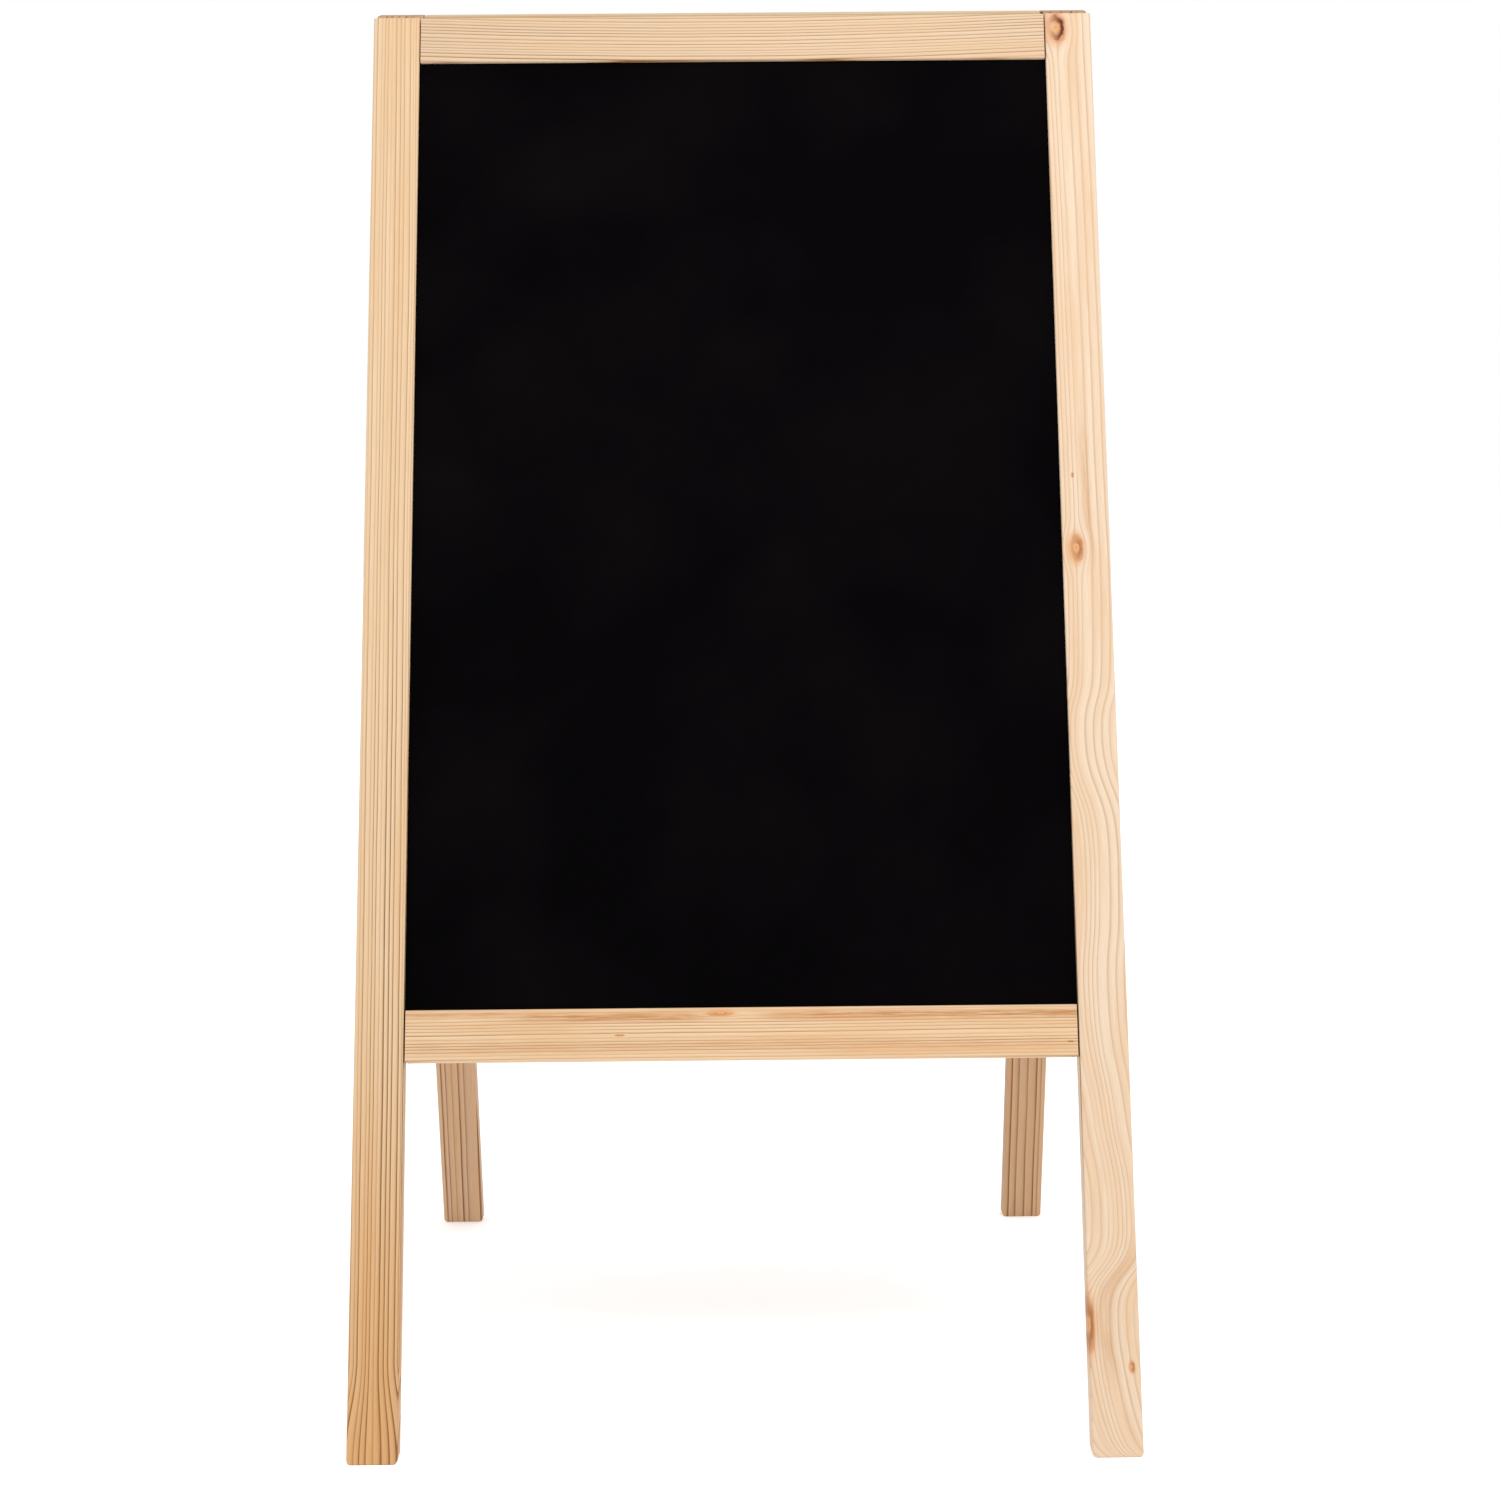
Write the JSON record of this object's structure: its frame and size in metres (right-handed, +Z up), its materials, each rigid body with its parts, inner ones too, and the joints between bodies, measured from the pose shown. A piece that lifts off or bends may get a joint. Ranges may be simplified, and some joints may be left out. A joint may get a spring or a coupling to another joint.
{
  "type": "sandwich board",
  "caption": "Folding A-frame sandwich board: hinged pine frames with black chalkboard panels, dowelled rails and folding steel stays inside.",
  "frame": {"origin": "on the ground, in the middle of the open footprint", "axes": "+Z up, +X to the right as the front chalkboard is read, the front chalkboard faces -Y"},
  "size_m": [0.508, 0.5536, 0.9598],
  "materials": {
    "pine": "planed and sanded, clear satin",
    "chalkboard": "matt black chalkboard paint on hardboard",
    "dowel": "beech, fluted and glued",
    "plated_steel": "zinc plated",
    "steel": "drawn steel"
  },
  "bodies": {
    "front_frame": {"front_left_stile": "pine", "front_right_stile": "pine", "front_top_rail": "pine", "front_bottom_rail": "pine", "front_chalkboard": "chalkboard", "front_dowels": "dowel", "left_hinge_front_leaf": "plated_steel", "right_hinge_front_leaf": "plated_steel", "left_hinge_pin": "steel", "right_hinge_pin": "steel", "front_hinge_screws": "plated_steel", "front_stay_screws": "plated_steel", "front_stay_washers": "steel"},
    "rear_frame": {"rear_left_stile": "pine", "rear_right_stile": "pine", "rear_top_rail": "pine", "rear_bottom_rail": "pine", "rear_chalkboard": "chalkboard", "rear_dowels": "dowel", "left_hinge_rear_leaf": "plated_steel", "right_hinge_rear_leaf": "plated_steel", "rear_hinge_screws": "plated_steel", "rear_stay_screws": "plated_steel", "rear_stay_washers": "steel"},
    "left_front_bar": {"left_front_stay": "plated_steel", "left_elbow_tail": "steel"},
    "right_front_bar": {"right_front_stay": "plated_steel", "right_elbow_tail": "steel"},
    "left_rear_bar": {"left_rear_stay": "plated_steel", "left_elbow_head": "steel"},
    "right_rear_bar": {"right_rear_stay": "plated_steel", "right_elbow_head": "steel"}
  },
  "joints": [
    {"name": "fold", "type": "hinge", "parent": "front_frame", "child": "rear_frame", "pos_m": [0, 0.01799, 0.94595], "axis": [-1, 0, 0], "range_deg": [0, 30.4]},
    {"name": "left_front_bar_turn", "type": "hinge", "parent": "front_frame", "child": "left_front_bar", "pos_m": [-0.2215, -0.05674, 0.71774], "axis": [1, 0, 0], "range_deg": [0, 62.31]},
    {"name": "left_rear_bar_turn", "type": "hinge", "parent": "rear_frame", "child": "left_rear_bar", "pos_m": [-0.2215, 0.08463, 0.71525], "axis": [-1, 0, 0], "range_deg": [0, 62.31]},
    {"name": "right_front_bar_turn", "type": "hinge", "parent": "front_frame", "child": "right_front_bar", "pos_m": [0.2215, -0.05674, 0.71774], "axis": [1, 0, 0], "range_deg": [0, 62.31]},
    {"name": "right_rear_bar_turn", "type": "hinge", "parent": "rear_frame", "child": "right_rear_bar", "pos_m": [0.2215, 0.08463, 0.71525], "axis": [-1, 0, 0], "range_deg": [0, 62.31]}
  ],
  "couplings": [
    {"joint": "left_front_bar_turn", "follows": "fold", "ratio": 2.0493},
    {"joint": "left_rear_bar_turn", "follows": "fold", "ratio": 2.0493},
    {"joint": "right_front_bar_turn", "follows": "fold", "ratio": 2.0493},
    {"joint": "right_rear_bar_turn", "follows": "fold", "ratio": 2.0493}
  ]
}
